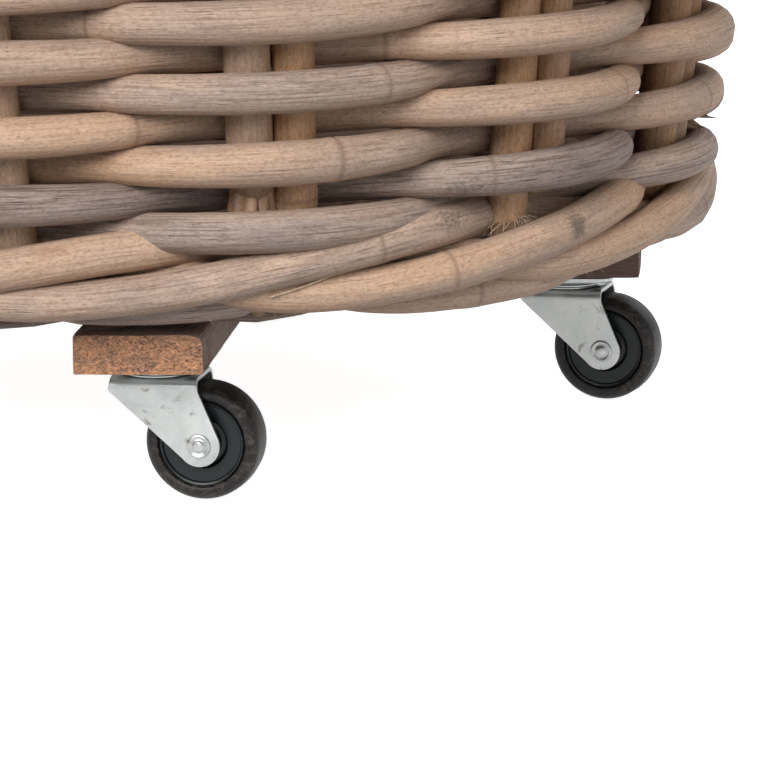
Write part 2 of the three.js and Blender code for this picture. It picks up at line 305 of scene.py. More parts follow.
def batten_material(name, along, pale, brown, shadow, weathered):
    """Raw sawn wood, with the grain along one axis and end grain where the face is an end."""
    s = Shader(name, specular=0.25)
    place = s.place()
    long_scale, band_scale = [1900, 1900, 1900], [260, 260, 260]
    long_scale[along], band_scale[along] = 22, 6
    grain = s.fleck(place, long_scale, 4, 0.65)
    bands = s.fleck(place, band_scale, 4, 0.6, distortion=0.5)
    stain = s.fleck(place, (1, 1, 1), 4, 0.65, (3, 1, 7), scale=26)
    normal = s.node("TexCoord", "Normal")
    end = s.ramp(s.math("ABSOLUTE", s.axis(normal, "XYZ"[along])), (0.6, 0), (0.85, 1))
    side = s.mix(s.ramp(bands, (0.35, 0), (0.66, 1)), brown, shadow)
    side = s.over(side, (0.055, 0.032, 0.027), grain, (0.34, 0.8), (0.52, 0))
    side = s.over(side, s.mix(grain, brown, weathered), stain, (0.34, 0), (0.52, 0.85))
    side = s.over(side, weathered, grain, (0.56, 0), (0.72, 0.45))
    fibres = s.fleck(place, (520, 520, 800), 4, 0.7, tilt=0.6)
    clumps = s.fleck(place, (1, 1, 1.6), 4, 0.7, scale=95, distortion=0.8)
    pores = s.fleck(place, (1, 1, 1.7), 5, 0.8, scale=1100, distortion=0.6)
    rings = s.node("TexWave", "Fac", {
        "Vector": s.stretched(place, (1, 1, 1), (0.012, 0.012, -0.045)), "Scale": 48, "Distortion": 2.2,
        "Detail": 3, "Detail Scale": 2}, wave_type="RINGS", rings_direction="XYZ"[along])
    sawn = s.mix(s.ramp(clumps, (0.42, 0), (0.58, 1)), pale, s.mix(0.85, pale, brown))
    sawn = s.mix(s.ramp(rings, (0.15, 0.55), (0.5, 0)), sawn, s.mix(0.5, pale, brown))
    sawn = s.over(sawn, s.tinted(pale, (1.35, 1.4, 1.5)), fibres, (0.54, 0), (0.64, 0.9))
    sawn = s.over(sawn, (0.17, 0.075, 0.042), fibres, (0.36, 0.9), (0.46, 0))
    pits = s.ramp(clumps, (0.42, 1), (0.62, 0.35))
    pits = s.times(s.ramp(pores, (0.33, 0.9), (0.44, 0)), pits)
    sawn = s.mix(pits, sawn, (0.085, 0.033, 0.02))
    colour = s.mix(end, side, sawn)
    height = s.mix(end, grain, s.math("MULTIPLY_ADD", pits, -1.2, fibres))
    return s.finish(colour, s.ramp(grain, (0.3, 0.9), (0.7, 0.7)), s.bump(height, 1, 0.0014))


def zinc_material():
    s = Shader("zinc_steel", metallic=0.92, specular=0.5)
    place = s.place()
    spangle = s.cells(place, 260)
    cloud = s.noise(place, 55, 5, 0.65)
    scratch = s.fleck(place, (2400, 2400, 90), 3, 0.55)
    stain = s.fleck(place, (1, 1, 1), 5, 0.7, (4, 7, 2), scale=130)
    colour = s.mix(s.ramp(cloud, (0.35, 0), (0.65, 1)), (0.36, 0.375, 0.365), (0.5, 0.51, 0.5))
    colour = s.over(colour, (0.36, 0.39, 0.41), spangle, (0.2, 0.14), (0.6, 0))
    colour = s.over(colour, (0.13, 0.12, 0.1), stain, (0.59, 0), (0.68, 0.75))
    roughness = s.ramp(cloud, (0.3, 0.34), (0.7, 0.5))
    relief = s.math("MULTIPLY_ADD", scratch, 0.3, spangle)
    return s.finish(colour, roughness, s.bump(relief, 0.12, 0.0003))


def dark_steel_material():
    s = Shader("greased_steel", metallic=0.8, specular=0.5)
    grime = s.noise(s.place(), 380, 5, 0.7)
    colour = s.ramp(grime, (0.35, (0.035, 0.033, 0.03)), (0.65, (0.2, 0.2, 0.19)))
    return s.finish(colour, s.ramp(grime, (0.3, 0.25), (0.7, 0.6)), s.bump(grime, 0.2, 0.0004))


def hub_material():
    s = Shader("hub_plastic", specular=0.3)
    place = s.place()
    flow = s.noise(place, 90, 4, 0.6)
    grit = s.noise(place, 1500, 3, 0.6)
    dust = s.fleck(place, (1, 1, 1), 5, 0.7, (2, 2, 9), scale=210)
    colour = s.ramp(flow, (0.3, (0.004, 0.006, 0.007)), (0.7, (0.009, 0.012, 0.014)))
    colour = s.over(colour, (0.16, 0.14, 0.12), dust, (0.6, 0), (0.8, 0.25))
    return s.finish(colour, s.ramp(flow, (0.3, 0.28), (0.7, 0.42)), s.bump(grit, 0.1, 0.0003))


def tyre_material():
    s = Shader("tyre_rubber", specular=0.25)
    place = s.place()
    scuff = s.fleck(place, (1, 1, 1), 6, 0.75, (3, 5, 7), scale=190, distortion=2)
    grit = s.noise(place, 1900, 3, 0.6)
    cloud = s.noise(place, 48, 4, 0.6)
    colour = s.ramp(cloud, (0.3, (0.006, 0.0055, 0.0055)), (0.7, (0.014, 0.012, 0.011)))
    colour = s.over(colour, (0.085, 0.07, 0.06), scuff, (0.5, 0), (0.62, 0.65))
    return s.finish(colour, s.ramp(scuff, (0.3, 0.36), (0.7, 0.62)), s.bump(grit, 0.18, 0.0004))


RATTAN = rattan_material()
CUT = cut_material()
FIBRE = fibre_material()
REDDISH = batten_material("batten_reddish_wood", 1, (0.68, 0.34, 0.18), (0.3, 0.175, 0.125),
                          (0.21, 0.155, 0.13), (0.56, 0.45, 0.4))
DARK = batten_material("batten_dark_wood", 0, (0.33, 0.215, 0.165), (0.23, 0.145, 0.112),
                       (0.17, 0.095, 0.072), (0.3, 0.19, 0.155))
ZINC = zinc_material()
GREASED = dark_steel_material()
HUB = hub_material()
TYRE = tyre_material()


# -------- meshes

def new_object(name, vertices, faces, materials):
    mesh = bpy.data.meshes.new(name)
    mesh.from_pydata([tuple(v) for v in vertices], [], [tuple(f) for f in faces])
    mesh.validate()
    for material in materials:
        mesh.materials.append(material)
    mesh.shade_smooth()
    item = bpy.data.objects.new(name, mesh)
    bpy.context.scene.collection.objects.link(item)
    return item


def grid_faces(rows, count, first=0, wrap_rows=False, wrap=True):
    """Quads between neighbouring rows of points, each row of `count` points closed into a ring
    unless `wrap` is off. wrap_rows also joins the last row to the first."""
    faces = []
    for row in range(rows if wrap_rows else rows - 1):
        here, there = (first + (row + step) % rows * count for step in (0, 1))
        for k in range(count if wrap else count - 1):
            n = (k + 1) % count
            faces.append((here + k, here + n, there + n, there + k))
    return faces


def settle(item, body, slot, *nodes):
    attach(item, body)
    if nodes:
        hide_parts(*nodes)
    return item


class Tube:
    """One or more canes in one mesh, with the attributes that the rattan material reads."""

    def __init__(self):
        self.vertices, self.faces, self.cuts = [], [], []
        self.fibre, self.tone, self.ring, self.depth = [], [], [], []

    def add(self, points, radius, tone, seed, flat=None, up=(0, 0, 1), nodes=True, tilt=(0, 0),
            sides=SIDES, lump=0.045, depth=0.0, inner_depth=0.0, taper=(0, 0)):
        """points: N x 3. flat: N x 2 scales across and along `up`. tilt: slant of the two ends.
        depth: painted shade over the whole cane. inner_depth: painted shade on the side that faces the
        inside of the basket. taper: length over which each end narrows."""
        points = np.asarray(points, float)
        up = np.broadcast_to(np.asarray(up, float), points.shape)
        flat = np.ones((len(points), 2)) if flat is None else flat
        travelled = np.concatenate([[0], np.cumsum(np.linalg.norm(np.diff(points, axis=0), axis=1))])
        gap = 0.21 + 0.09 * abs(wander(seed, 5))
        rings = np.arange(gap * abs(wander(seed + 0.5, 9)) + 0.02, travelled[-1] - 0.01, gap)
        if not nodes:
            rings = rings[:0]
        extra = [r + d for r in rings for d in (-0.004, -0.0016, -0.0005, 0.0005, 0.0016, 0.004)]
        places = np.unique(np.concatenate([travelled, extra]))
        points, up, flat = (np.stack([np.interp(places, travelled, column) for column in block.T], 1)
                            for block in (points, up, flat))
        count = len(points)
        tangents = np.gradient(points, places, axis=0)
        tangents /= np.linalg.norm(tangents, axis=1)[:, None]
        across = np.cross(tangents, up)
        across /= np.linalg.norm(across, axis=1)[:, None]
        upward = np.cross(across, tangents)
        away = np.min(np.abs(places[:, None] - rings[None, :]), axis=1) if len(rings) else places * 0 + 1
        mark = np.exp(-(away / 0.0011) ** 2)
        size = radius * (1 + lump * wander(seed, places, 0.08) + 0.012 * wander(seed + 3, places, 0.014))
        size *= 1 + 0.05 * np.exp(-(away / 0.004) ** 2) - 0.035 * mark
        for length, rest in ((taper[0], places), (taper[1], places[-1] - places)):
            if length:
                size *= 0.35 + 0.65 * np.clip(rest / length, 0, 1) ** 0.6
        angles = np.arange(sides) * 2 * pi / sides
        egg = 1 + 0.03 * np.cos(2 * angles[None, :] + seed + places[:, None] * 5)
        cosines, sines = np.cos(angles)[None, :], np.sin(angles)[None, :]
        a = size[:, None] * flat[:, :1] * cosines * egg
        b = size[:, None] * flat[:, 1:] * sines * egg
        slant = np.zeros(count)
        slant[0], slant[-1] = tilt
        spots = (points[:, None] + across[:, None] * a[..., None] + upward[:, None] * b[..., None]
                 + tangents[:, None] * (slant[:, None] * b)[..., None])
        outward = across[:, None] * cosines[..., None] + upward[:, None] * sines[..., None]
        radial = points * (1, 1, 0)
        radial /= np.maximum(np.linalg.norm(radial, axis=1), 1e-6)[:, None]
        inward = -np.sum(outward * radial[:, None], axis=2)
        start = len(self.vertices)
        self.vertices += [tuple(v) for v in spots.reshape(-1, 3)]
        fibre = np.stack(np.broadcast_arrays(places[:, None] + seed * 1.7, radius * cosines + seed * 0.31,
                                             radius * sines + seed * 0.17), 2)
        self.fibre += [tuple(v) for v in fibre.reshape(-1, 3)]
        self.tone += [tone] * (count * sides)
        self.ring += np.repeat(mark, sides).tolist()
        # Painted shade: an even amount over the whole cane, plus more on the side that faces the inside of
        # the basket.
        self.depth += (depth + inner_depth * np.clip(inward * 1.6, 0, 1)).ravel().tolist()
        skin = [(a, d, c, b) for a, b, c, d in grid_faces(count, sides, start)]
        self.faces += skin
        self.cuts += [0] * len(skin)
        self._cap(start, points[0], -tangents[0], size[0], seed, tone, sides)
        self._cap(start + (count - 1) * sides, points[-1], tangents[-1], size[-1], seed + 1, tone, sides, -1)

    def _cap(self, first, centre, outward, radius, seed, tone, sides, turn=1):
        """Cut end: a worn rim that turns in to a slightly raised middle."""
        inner = len(self.vertices)
        for k in range(sides):
            spot = np.asarray(self.vertices[first + k])
            self.vertices.append(spot + (centre - spot) * 0.16 + outward * radius * 0.09)
        tip = len(self.vertices)
        self.vertices.append(np.asarray(centre) + outward * radius * 0.11)
        self.fibre += [(seed, seed * 0.3, 0.0)] * (sides + 1)
        self.tone += [tone] * (sides + 1)
        self.ring += [0.0] * (sides + 1)
        self.depth += [0.0] * (sides + 1)
        for k in range(sides):
            n = (k + 1) % sides
            for face in ((first + k, first + n, inner + n, inner + k), (inner + k, inner + n, tip)):
                self.faces.append(face[::turn])
                self.cuts.append(1)

    def build(self, name, skin=None):
        item = new_object(name, self.vertices, self.faces, [skin or RATTAN, skin or CUT])
        mesh = item.data
        mesh.polygons.foreach_set("material_index", self.cuts)
        for label in ("fibre", "tone", "ring", "depth"):
            kind, key = ("FLOAT_VECTOR", "vector") if label == "fibre" else ("FLOAT", "value")
            layer = mesh.attributes.new(label, kind, "POINT")
            layer.data.foreach_set(key, np.asarray(getattr(self, label), float).ravel())
        return item


def one_cane(name, points, radius, tone, seed, slot, nodes, **options):
    tube = Tube()
    tube.add(points, radius, tone, seed, **options)
    return settle(tube.build(name), "basket", slot, *nodes)


def smooth_path(keys, step=RING_STEP):
    """A smooth line through key points, with evenly spaced rings."""
    keys = [np.asarray(key, float) for key in keys]
    padded = [2 * keys[0] - keys[1]] + keys + [2 * keys[-1] - keys[-2]]
    line = []
    for a, b, c, d in zip(padded, padded[1:], padded[2:], padded[3:]):
        parts = max(2, int(np.linalg.norm(c - b) / step))
        for k in range(parts):
            t = k / parts
            line.append(0.5 * (2 * b + (c - a) * t + (2 * a - 5 * b + 4 * c - d) * t * t
                               + (3 * b - a - 3 * c + d) * t ** 3))
    line.append(keys[-1])
    return np.array(line)


# -------- camera, floor and light

CAMERA_LENS_MM = 171.97
CAMERA_TURN = (-1.457, 11.732, -0.914)  # azimuth, elevation and roll in degrees
CAMERA_TARGET = Vector((0.1087, -0.4317, 0.0947))
CAMERA_DISTANCE = 1.42606
FLOOR_SIZE = 8.0
FLOOR_DROP = 0.0006
FLOOR_GLOW = 0.87
DOME_LOW, DOME_HIGH = 0.23, 0.16
WHITE = (1, 1, 1, 1)
SUNS = (  # name, azimuth from the front towards +X, elevation, spread in degrees, power
    ("key", -24, 32, 36, 3.1),
    ("fill", 55, 12, 70, 1.0),
    ("back", 165, 35, 70, 1.0),
)


def add_aimed(name, data, azimuth, elevation, roll=0.0, distance=0.0, target=Vector()):
    """A camera or light that looks at the target, from a direction in degrees."""
    a, e = radians(azimuth), radians(elevation)
    back = Vector((sin(a) * cos(e), -cos(a) * cos(e), sin(e)))
    item = bpy.data.objects.new(name, data)
    item.location = target + back * distance
    item.rotation_mode = "QUATERNION"
    item.rotation_quaternion = (-back).to_track_quat("-Z", "Y") @ Quaternion((0, 0, 1), radians(roll))
    bpy.context.scene.collection.objects.link(item)
    return item


def make_camera():
    """Long lens, looking down a little on the foot of the basket and its two near castors."""
    data = bpy.data.cameras.new("camera")
    data.sensor_width = 36.0
    data.lens = CAMERA_LENS_MM
    data.clip_start = 0.05
    camera = add_aimed("camera", data, *CAMERA_TURN, CAMERA_DISTANCE, CAMERA_TARGET)
    bpy.context.scene.camera = camera


def make_suns():
    """Soft lights from far away."""
    for name, azimuth, elevation, spread, power in SUNS:
        data = bpy.data.lights.new(name, "SUN")
        data.angle = radians(spread)
        data.energy = power
        add_aimed(name, data, azimuth, elevation)


def make_stage():
    """Plain pale floor, and a dome that is a little brighter near the horizon than overhead."""
    corners = [(x * FLOOR_SIZE, y * FLOOR_SIZE, 0) for x, y in ((-1, -1), (1, -1), (1, 1), (-1, 1))]
    floor = new_object("floor", corners, [(0, 1, 2, 3)], [])
    floor.location.z = -FLOOR_DROP
    s = Shader("studio_floor", roughness=0.9, specular=0.1)
    s.bsdf.inputs["Emission Color"].default_value = WHITE
    s.bsdf.inputs["Emission Strength"].default_value = FLOOR_GLOW
    shade = s.noise(s.place(), 3, 2)
    floor.data.materials.append(s.finish(s.ramp(shade, (0.3, 0.90), (0.7, 0.92))))
    floor.visible_diffuse = False
    world = bpy.data.worlds.new("studio")
    bpy.context.scene.world = world
    world.use_nodes = True
    tree = world.node_tree
    height = tree.nodes.new("ShaderNodeSeparateXYZ")
    tree.links.new(tree.nodes.new("ShaderNodeTexCoord").outputs["Generated"], height.inputs[0])
    dome = tree.nodes.new("ShaderNodeMapRange")
    dome.inputs["To Min"].default_value = DOME_LOW
    dome.inputs["To Max"].default_value = DOME_HIGH
    tree.links.new(height.outputs["Z"], dome.inputs["Value"])
    tree.links.new(dome.outputs["Result"], tree.nodes["Background"].inputs["Strength"])
    tree.nodes["Background"].inputs["Color"].default_value = WHITE
    bpy.context.scene.view_settings.view_transform = "Standard"


make_camera()
make_stage()
make_suns()


# -------- stakes

STAKE_ENDS = {(1, -1): 0.115, (1, 1): 0.118, (2, -1): 0.1500, (2, 1): 0.120, (3, -1): 0.1165, (3, 1): 0.132,
              (4, -1): 0.1155, (4, 1): 0.129}


def stake_point(index, side, z, seed):
    """Each pair is two canes side by side, which draw in behind the border at the foot."""
    radius = stake_radius(z) - STAKE_INSET - 0.004 * max(0.0, min(1.0, (0.127 - z) / 0.02))
    radius += 0.0008 * wander(seed + 4, z, 0.05)
    offset = side * (STAKE_R + 0.0001) + 0.0011 * wander(seed, z, 0.12)
    return around(stake_angle(index, z) + offset / radius, radius, z)


def make_stakes():
    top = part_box("rim_border")[0][2] + 0.006
    for index in range(STAKES):
        for side in (-1, 1):
            seed = index * 2 + side + 40.0
            low = STAKE_ENDS.get((index, side), 0.102 + 0.004 * wander(seed, 1))
            heights = np.arange(low, top, RING_STEP)
            points = [stake_point(index, side, z, seed) for z in heights]
            radius = STAKE_R * (1 + 0.045 * wander(seed, 3))
            radial = around(stake_angle(index, 0.25), 1.0, 0.0)
            tone = 0.98 + 0.06 * wander(seed + 2, 1)
            name = f"stake_{index + 1:02d}_{'left' if side < 0 else 'right'}"
            one_cane(name, points, radius, tone, seed, "cane_honey", [f"stake_pair_{index + 1:02d}"],
                     up=radial, tilt=(0.5 * side, 0), inner_depth=INNER_SHADE)


# -------- weave

def weave_point(index, seed):
    """index counts stakes along the spiral: outside a pair where it is even, inside where odd."""
    z = WEAVE_START + ROW * index / STAKES + 0.0013 * wander(seed, index, 1.3)
    wave = cos(pi * index)
    offset = PASS * copysign(abs(wave) ** 0.82, wave) - 0.0013 + 0.0010 * wander(seed + 5, index, 0.9)
    offset += bulge(index) * max(wave, 0)
    return on_wall(index, offset, z)


def weaver_break(length):
    """Stake count at which a length of the CAD's weave begins, always inside a pair."""
    spread = 0 if length % WEAVER_LENGTHS == 0 else 4 * (length % 3 - 1)
    return length * TURNS * STAKES // WEAVER_LENGTHS + spread - 1


# Each length is two canes end to end: their tones, and how far along the length they meet.
WEAVE_TONES = (0.32, 0.12, 0.72, 0.44, 0.75, 0.66, 0.5, 0.7, 0.3, 0.85, 0.55, 0.8, 0.2, 0.6, 0.75,
               0.45, 0.25, 0.85, 0.5, 0.7)
WEAVE_JOINTS = (0.46, 0.73, 0.45, 0.5, 0.6, 0.4, 0.5, 0.55, 0.45, 0.5)
POINTS_PER_STAKE = 22


def make_weave():
    for length in range(WEAVER_LENGTHS):
        first, last = weaver_break(length), weaver_break(length + 1)
        joint = first + 2 * round((last - first) * WEAVE_JOINTS[length] / 2)
        for part, (begin, end) in enumerate(((first, joint), (joint, last))):
            seed = 3.0 + length * 5 + part * 1.7
            counts = np.linspace(begin + 0.02, end - 0.02, int((end - begin) * POINTS_PER_STAKE))
            points = [weave_point(c, seed) for c in counts]
            lift = np.abs(np.cos(pi * counts))
            flat = np.stack([1.0 - 0.04 * lift, 0.88 + 0.12 * lift], 1)
            radius = WEAVER_R * (1 + 0.05 * wander(seed, 2))
            tone = WEAVE_TONES[length * 2 + part]
            one_cane(f"weaver_{length + 1}_{'ab'[part]}", points, radius, tone, seed, "cane_brown",
                     [f"weaver_length_{length + 1}"], flat=flat, inner_depth=INNER_SHADE)


# -------- border at the foot

WALE_KEYS = (  # stakes along, offset from the stake circle, height
    (0.0, -0.0150, 0.1215),
    (0.5, -0.0045, 0.1120),
    (1.0, 0.0100, 0.1010),
    (1.5, 0.0135, 0.1040),
    (2.0, 0.0148, 0.1140),
    (2.5, 0.0070, 0.1230),
)
WALE_START = -6
WALE_RUNS = (15, 12, 12)
WALE_TONES = (0.55, 0.8, 0.66)


def make_border():
    """Three rods: each goes behind one pair, out low, up over the next two, and in again. With
    13 pairs the rods come round one pair on, and each ends where the next began."""
    for rod in range(3):
        seed = 71.0 + rod * 2.3
        keys = []
        begin = WALE_START + rod
        for cycle in range(6):
            for along, offset, z in WALE_KEYS:
                count = cycle * 3 + along
                if count <= WALE_RUNS[rod] - 0.2:
                    index = begin + count
                    z = z + 0.0010 * wander(seed, index, 0.8)
                    offset = offset + bulge(index) * (offset > 0) + 0.0008 * wander(seed + 2, index, 0.7)
                    keys.append(on_wall(index, offset, z))
        one_cane(f"border_rod_{rod + 1}", smooth_path(keys), WALE_R, WALE_TONES[rod], seed, "cane_honey",
                 [f"border_cane_{rod + 1}"], inner_depth=INNER_SHADE)


# Short canes under the border, each from one count of stake pairs to another.
FOOT_RUNS = ((-0.9, 1.28), (1.05, 1.96), (2.05, 3.4), (3.5, 5.4), (5.5, 7.4), (7.5, 9.7), (9.8, 11.95))
FOOT_DROPS = (0.0, 0.0, 0.0050, 0.0, 0.0015, 0.0, 0.001)
FOOT_TONES = (0.05, 0.25, 0.7, 0.35, 0.5, 0.2, 0.45)


def make_foot():
    for number, (begin, end) in enumerate(FOOT_RUNS):
        seed = 90.0 + number * 1.3
        keys = []
        for share, offset, z in ((0, -0.004, 0.1010), (0.12, 0.0005, 0.0990), (0.35, 0.0035, 0.0970),
                                 (0.7, 0.0045, 0.0968), (1, 0.0015, 0.0990)):
            index = begin + (end - begin) * share
            z -= FOOT_DROPS[number] * sin(pi * share)
            keys.append(on_wall(index, offset + 0.6 * bulge(index), z))
        one_cane(f"foot_rod_{number + 1}", smooth_path(keys), FOOT_R, FOOT_TONES[number], seed, "cane_brown",
                 ["border_cane_1"], tilt=(0.3, 0.5), taper=(0.03, 0.012))


# -------- torn ends and loose fibres

def splinter(tube, start, aim, length, radius, seed, flat=1.0, sag=0.0, tone=0.6, depth=0.0):
    """One loose fibre or shard: it leaves `start` along `aim`, bends a little and thins out."""
    share = np.linspace(0, 1, 6)[:, None]
    bend = np.array([wander(seed + k, 1) for k in range(3)]) * 0.4 - (0, 0, sag)
    line = np.asarray(start) + length * (np.asarray(aim) * share + bend * share ** 2)
    thin = 1 - 0.75 * share[:, 0] ** 2
    tube.add(line, radius, tone, seed, np.stack([thin, thin * flat], 1), (0.3, 0.2, 1.0), False, sides=5,
             lump=0, depth=depth)


def wall_frame(count, offset, z):
    """A spot on the wall with the directions along the wall and out of it."""
    angle = stake_angle(count, z)
    return on_wall(count, offset, z), around(angle + pi / 2, 1, 0), around(angle, 1, 0)


def make_torn_ends():
    """The left cane of the second pair is split into ragged strips above the border, and bark
    hangs in shards beside the fourth."""
    strips = Tube()
    for k in range(8):
        turn = 2 * pi * k / 8 + 0.3
        low = 0.1330 + 0.0050 * abs(wander(k * 3.1, 2))
        line = []
        for z in np.linspace(0.160, low, 10):
            _, along, out = wall_frame(2, 0, z)
            splay = 0.0058 + 0.0022 * ((0.160 - z) / 0.026) ** 2 * (1 + wander(k * 1.7, 5))
            sideways = along * cos(turn) + out * sin(turn)
            line.append(stake_point(2, -1, z, 43.0) + sideways * splay)
        strips.add(line, 0.0032, 0.95 - 0.1 * (k % 3), 300.0 + k, up=out, sides=7, lump=0.16, nodes=False)
    for k in range(10):
        start, along, out = wall_frame(4.14 + 0.012 * k, 0.003, 0.1445 + 0.0010 * k)
        rise, reach = wander(k * 1.37, 1), wander(k * 1.37, 3)
        aim = out * 0.9 + along * (0.8 + 0.4 * reach) + (0, 0, 0.9 * rise)
        # The bark shards carry painted shade.
        splinter(strips, start, aim, 0.010 + 0.003 * reach, 0.0026, 320.0 + k, 0.45, tone=0.9, depth=0.6)
    settle(strips.build("torn_cane"), "basket", "cane_honey")


def make_loose_fibres():
    """Frayed fibres round the foot of the third pair, hairs under the border, and peeled strands."""
    fibres = Tube()
    foot = stake_point(3, -1, 0.1225, 45.0)
    _, along, out = wall_frame(3, 0, 0.119)
    for k in range(60):
        turn = pi * (k / 59 * 1.3 - 0.15)
        sideways = along * cos(turn) + out * sin(turn)
        rise, slide, reach = (wander(k * 1.37, spot) for spot in (4.0, 8.0, 6.0))
        start = foot + sideways * 0.0090 + (0, 0, 0.002 * slide)
        aim = sideways * 0.6 + along * slide * 1.6 + (0, 0, 0.7 * rise - 0.3)
        splinter(fibres, start, aim, 0.0065 + 0.003 * reach, 0.0003, 340.0 + k, sag=0.3)
    for k in range(40):
        count = 13 * abs(wander(k, 2)) + 0.02 * k
        start, along, out = wall_frame(count, 0.0105, 0.0920 + 0.0012 * wander(k, 7))
        aim = out * 0.4 + along * 1.4 * wander(k, 3) - (0, 0, 0.4)
        reach = 0.0020 + 0.0030 * abs(wander(k, 9))
        splinter(fibres, start, aim, reach, 0.00016, 380.0 + k, sag=0.3)
    for k in range(6):
        start, along, _ = wall_frame(1.38 + 0.03 * k, 0.001, 0.1165 - 0.0012 * k)
        splinter(fibres, start, along * 0.95 - (0, 0, 0.12), 0.040, 0.0011, 440.0 + k, 0.5)
    start, along, out = wall_frame(1.93, 0.0185, 0.1012)
    splinter(fibres, start, along * 0.95 + out * 0.08 + (0, 0, 0.22), 0.046, 0.0016, 450.0, 0.35)
    settle(fibres.build("loose_fibres", FIBRE), "basket", "cane_honey")


# -------- base

BASE_STICKS = 13
BASE_EDGE = 0.2460
BASE_START_R = 0.030
BASE_PITCH = 0.0064
BASE_BANDS = 6
BASE_RINGS = ((0.2405, 0.0945), (0.2395, 0.1035), (0.2425, 0.1115))  # radius and height


def make_base():
    """Sticks across the base with thin cane wound over and under them."""
    low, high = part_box("basket_floor")
    level = (low[2] + high[2]) / 2
    turns = int((high[0] - 0.001 - BASE_START_R) / BASE_PITCH)
    sticks = Tube()
    for number in range(BASE_STICKS):
        angle = pi * number / BASE_STICKS
        along = np.array([sin(angle), -cos(angle), 0.0])
        line = [along * r + np.array([0, 0, level + 0.0004 * (number % 3)])
                for r in np.linspace(-BASE_EDGE, BASE_EDGE, 44)]
        # The base sticks carry painted shade.
        sticks.add(line, 0.0042, 0.45 + 0.3 * wander(number, 1), 120.0 + number, sides=8, depth=0.4)
    settle(sticks.build("base_sticks"), "basket", "cane_brown", "basket_floor")
    steps = BASE_STICKS * 6
    for band in range(BASE_BANDS):
        tube = Tube()
        for turn in range(band * turns // BASE_BANDS, (band + 1) * turns // BASE_BANDS):
            line = []
            for k in range(steps + 1):
                angle = 2 * pi * k / steps
                radius = BASE_START_R + BASE_PITCH * (turn + k / steps)
                side = 1 if turn % 2 else -1
                height = level + side * 0.0036 * cos(angle * BASE_STICKS)
                line.append(around(angle, radius, height))
            tone = 0.42 + 0.35 * wander(turn, 2)
            # The cane wound over the base carries painted shade.
            tube.add(line, 0.0034, tone, 140.0 + turn, sides=6, nodes=False, depth=0.4)
        settle(tube.build(f"base_weave_{band + 1}"), "basket", "cane_brown", "basket_floor")
    for number, (radius, z) in enumerate(BASE_RINGS):
        seed = 170.0 + number
        line = [around(a + number, radius + 0.0008 * wander(seed, a, 0.3), z + 0.0006 * sin(13 * a))
                for a in np.arange(0, 2 * pi + 0.1, 0.02)]
        # The edge rings of the base carry painted shade, with more on their inner side.
        one_cane(f"base_edge_{number + 1}", line, 0.0046, 0.45 + 0.1 * number, seed, "cane_brown",
                 ["basket_floor"], sides=10, inner_depth=0.5, depth=0.25)


# -------- rim and handles

def make_rim():
    """Rolled border: five rods that wind round each other along the rim."""
    low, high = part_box("rim_border")
    level = (low[2] + high[2]) / 2
    ring, rods, twists, steps = 0.2955, 5, 11, 620
    for rod in range(rods):
        line = []
        seed = 160.0 + rod * 3.1
        for k in range(steps + 4):
            angle = 2 * pi * (k / steps + rod * 0.17)
            turn = angle * twists + 2 * pi * rod / rods
            line.append(around(angle, ring + 0.0135 * cos(turn), level + 0.0062 * sin(turn)))
        tone = 0.5 + 0.35 * wander(seed, 1)
        one_cane(f"rim_rod_{rod + 1}", line, RIM_ROD_R, tone, seed, "cane_honey", ["rim_border"], sides=12)


def make_handles():
    """Two loops of three strands twisted together, standing on the rim."""
    for name, sign in (("right", 1), ("left", -1)):
        low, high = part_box(f"handle_{name}")
        x = (low[0] + high[0]) / 2
        base = low[2] - 0.016
        rise = high[2] - 0.0105 - base
        half = (high[1] - low[1]) / 2 - 0.0105
        for strand in range(3):
            line = []
            for k in range(91):
                turn = pi * k / 90
                twist = turn * 3.2 + 2 * pi * strand / 3
                outward = np.array([0.0, -cos(turn), sin(turn)])
                spine = np.array([x, -half * cos(turn), base + rise * sin(turn) ** 0.8])
                line.append(spine + outward * 0.0052 * cos(twist)
                            + np.array([sign * 0.0052 * sin(twist), 0, 0]))
            one_cane(f"handle_{name}_strand_{strand + 1}", line, HANDLE_ROD_R, 0.45 + 0.12 * strand,
                     200.0 + strand + sign, "cane_honey", [f"handle_{name}"], up=(1, 0, 0), sides=12)


# -------- battens

CROSS = Vector((0.0389, 0.0137, 0.0))
CROSS_TURN = radians(-7)
BATTEN_HALF = 0.029
BATTEN_START = -0.2715
BATTEN_BACK_END = 0.2430
BATTEN_RIGHT_END = 0.2125
LAP = 0.0293
BATTEN_SHARP_ANGLE = 38


def batten_outline(thick, rounds):
    """Section with rounded corners: rounds are the radii at the two bottom, then two top corners."""
    corners = [(-BATTEN_HALF, 0, rounds[0]), (BATTEN_HALF, 0, rounds[1]), (BATTEN_HALF, thick, rounds[3]),
               (-BATTEN_HALF, thick, rounds[2])]
    outline = rounded(corners, 0.001, 5)
    full = []
    for (u1, v1), (u2, v2) in zip(outline, outline[1:] + outline[:1]):
        parts = max(1, round(hypot(u2 - u1, v2 - v1) / 0.005))
        full += [(u1 + (u2 - u1) * k / parts, v1 + (v2 - v1) * k / parts) for k in range(parts)]
    return full


